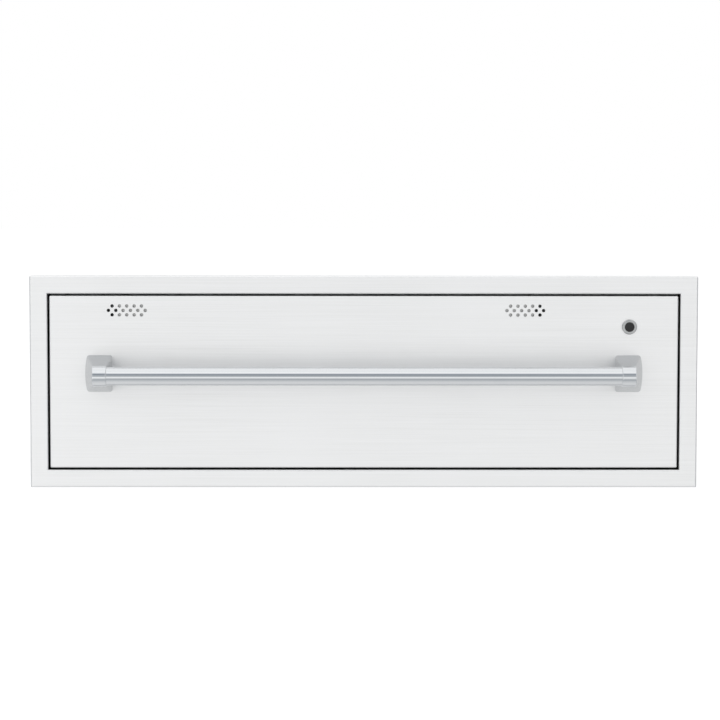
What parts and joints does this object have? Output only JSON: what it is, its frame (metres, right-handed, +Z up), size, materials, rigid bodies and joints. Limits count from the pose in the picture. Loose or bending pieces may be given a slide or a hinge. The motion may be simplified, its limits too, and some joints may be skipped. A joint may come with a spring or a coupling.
{
  "type": "built-in warming drawer",
  "caption": "Built-in warming drawer: wide stainless face frame, flush drawer front with vent holes, push-button and bar handle, on full-extension ball slides.",
  "frame": {"origin": "on the plane of the face frame's lower edge, in the middle of the bounding box in X and Y", "axes": "+X to the right of a person facing the front, +Y from the front to the back, +Z up; the drawer opens towards -Y"},
  "size_m": [0.819, 0.637, 0.26],
  "materials": {
    "brushed_stainless": "brushed along the width",
    "satin_stainless": "satin",
    "galvanised_sheet": "galvanised",
    "mineral_wool": "matt fibre",
    "polished_chrome": "polished",
    "zinc_plated_steel": "bright zinc",
    "black_plastic": "fine texture",
    "sheathed_element": "heat-darkened steel sheath",
    "ceramic": "unglazed",
    "silicone_seal": "matt"
  },
  "bodies": {
    "case": {"face_frame": "brushed_stainless", "case_bottom": "galvanised_sheet", "case_top": "galvanised_sheet", "case_side_left": "galvanised_sheet", "case_side_right": "galvanised_sheet", "case_back": "galvanised_sheet", "back_screws": "zinc_plated_steel", "cord_gland": "black_plastic", "cavity_front": "galvanised_sheet", "cavity_side_left": "galvanised_sheet", "cavity_side_right": "galvanised_sheet", "cavity_ceiling": "galvanised_sheet", "cavity_floor": "galvanised_sheet", "cavity_back": "galvanised_sheet", "insulation_top": "mineral_wool", "insulation_bottom": "mineral_wool", "insulation_left": "mineral_wool", "insulation_right": "mineral_wool", "insulation_back": "mineral_wool", "heating_element": "sheathed_element", "element_clips": "galvanised_sheet", "heat_cutout": "zinc_plated_steel", "terminal_block": "ceramic", "slide_outer_left": "zinc_plated_steel", "slide_outer_right": "zinc_plated_steel"},
    "drawer": {"door_skin": "brushed_stainless", "vent_baffle": "brushed_stainless", "door_insulation": "mineral_wool", "door_inner_panel": "galvanised_sheet", "door_gasket": "silicone_seal", "handle_bar": "polished_chrome", "handle_post_left": "polished_chrome", "handle_post_right": "polished_chrome", "handle_screws": "zinc_plated_steel", "button_bezel": "polished_chrome", "button_nut": "zinc_plated_steel", "button_switch": "black_plastic", "tub": "satin_stainless", "drawer_side_left": "satin_stainless", "drawer_side_right": "satin_stainless", "drawer_rear": "satin_stainless", "tub_ledge": "satin_stainless", "control_box": "galvanised_sheet", "thermostat": "black_plastic", "slide_inner_left": "zinc_plated_steel", "slide_inner_right": "zinc_plated_steel"},
    "power_button": {"power_button": "black_plastic"},
    "thermostat_knob": {"thermostat_shaft": "zinc_plated_steel", "thermostat_knob": "black_plastic"},
    "slide_middle_left": {"slide_middle_left": "zinc_plated_steel"},
    "ball_cage_outer_left": {"ball_cage_outer_left": "zinc_plated_steel"},
    "ball_cage_inner_left": {"ball_cage_inner_left": "zinc_plated_steel"},
    "slide_middle_right": {"slide_middle_right": "zinc_plated_steel"},
    "ball_cage_outer_right": {"ball_cage_outer_right": "zinc_plated_steel"},
    "ball_cage_inner_right": {"ball_cage_inner_right": "zinc_plated_steel"}
  },
  "joints": [
    {"name": "drawer_slide", "type": "slide", "parent": "case", "child": "drawer", "axis": [0, -1, 0], "range_m": [0, 0.41]},
    {"name": "slide_middle_left_travel", "type": "slide", "parent": "case", "child": "slide_middle_left", "axis": [0, -1, 0], "range_m": [0, 0.205]},
    {"name": "ball_cage_outer_left_travel", "type": "slide", "parent": "case", "child": "ball_cage_outer_left", "axis": [0, -1, 0], "range_m": [0, 0.1025]},
    {"name": "ball_cage_inner_left_travel", "type": "slide", "parent": "case", "child": "ball_cage_inner_left", "axis": [0, -1, 0], "range_m": [0, 0.3075]},
    {"name": "slide_middle_right_travel", "type": "slide", "parent": "case", "child": "slide_middle_right", "axis": [0, -1, 0], "range_m": [0, 0.205]},
    {"name": "ball_cage_outer_right_travel", "type": "slide", "parent": "case", "child": "ball_cage_outer_right", "axis": [0, -1, 0], "range_m": [0, 0.1025]},
    {"name": "ball_cage_inner_right_travel", "type": "slide", "parent": "case", "child": "ball_cage_inner_right", "axis": [0, -1, 0], "range_m": [0, 0.3075]},
    {"name": "power_button_press", "type": "slide", "parent": "drawer", "child": "power_button", "axis": [0, 1, 0], "range_m": [0, 0.0018], "stiffness_N_per_m": 500, "springref_m": -0.001},
    {"name": "thermostat_turn", "type": "hinge", "parent": "drawer", "child": "thermostat_knob", "pos_m": [0.28045, -0.1485, 0.1963], "axis": [0, 0, 1], "range_deg": [-270, 0]}
  ],
  "couplings": [
    {"joint": "slide_middle_left_travel", "follows": "drawer_slide", "ratio": 0.5},
    {"joint": "ball_cage_outer_left_travel", "follows": "drawer_slide", "ratio": 0.25},
    {"joint": "ball_cage_inner_left_travel", "follows": "drawer_slide", "ratio": 0.75},
    {"joint": "slide_middle_right_travel", "follows": "drawer_slide", "ratio": 0.5},
    {"joint": "ball_cage_outer_right_travel", "follows": "drawer_slide", "ratio": 0.25},
    {"joint": "ball_cage_inner_right_travel", "follows": "drawer_slide", "ratio": 0.75}
  ]
}
